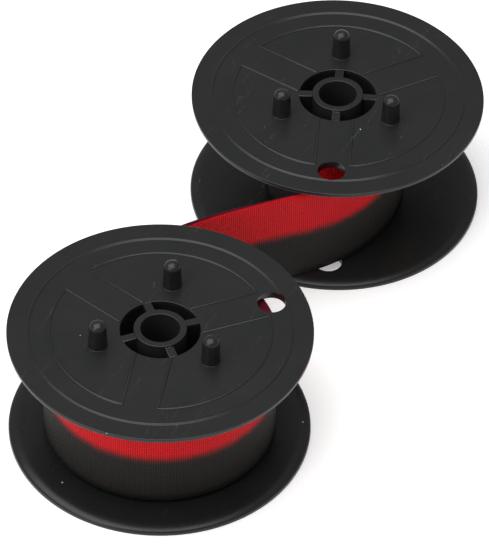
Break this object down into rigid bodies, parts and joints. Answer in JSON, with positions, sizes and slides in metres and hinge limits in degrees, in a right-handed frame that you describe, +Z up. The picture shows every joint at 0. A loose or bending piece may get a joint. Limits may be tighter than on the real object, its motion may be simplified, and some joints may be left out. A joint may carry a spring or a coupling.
{
  "type": "twin ink ribbon spool",
  "caption": "Twin flanged spools of black plastic joined by a slack woven ink ribbon, red along its upper half and black along its lower half, for a printing calculator.",
  "frame": {"origin": "on the ground, midway between the axes of the two spools", "axes": "+Z up along both spool axes, +X from the feed spool's axis to the take-up spool's axis"},
  "size_m": [0.0804, 0.035, 0.0192],
  "materials": {
    "black_plastic": "satin moulded plastic with a fine grain",
    "red_ribbon": "fine plain-weave nylon soaked with red ink",
    "black_ribbon": "fine plain-weave nylon soaked with black ink",
    "brass": "thin pressed brass"
  },
  "bodies": {
    "ribbon_span": {"span_red": "red_ribbon", "span_black": "black_ribbon"},
    "feed_spool": {"feed_upper_flange": "black_plastic", "feed_lower_flange": "black_plastic", "feed_core": "black_plastic", "feed_end_clip": "black_plastic", "feed_eyelet": "brass", "feed_pack_red": "red_ribbon", "feed_pack_black": "black_ribbon"},
    "takeup_spool": {"takeup_upper_flange": "black_plastic", "takeup_lower_flange": "black_plastic", "takeup_core": "black_plastic", "takeup_end_clip": "black_plastic", "takeup_eyelet": "brass", "takeup_pack_red": "red_ribbon", "takeup_pack_black": "black_ribbon"}
  },
  "joints": [
    {"name": "feed_spin", "type": "hinge", "parent": "ribbon_span", "child": "feed_spool", "pos_m": [-0.0227, 0, 0.0078], "axis": [0, 0, 1], "continuous": true},
    {"name": "takeup_spin", "type": "hinge", "parent": "ribbon_span", "child": "takeup_spool", "pos_m": [0.0227, 0, 0.0078], "axis": [0, 0, 1], "continuous": true}
  ],
  "couplings": [
    {"joint": "takeup_spin", "follows": "feed_spin", "ratio": -1.6071}
  ]
}
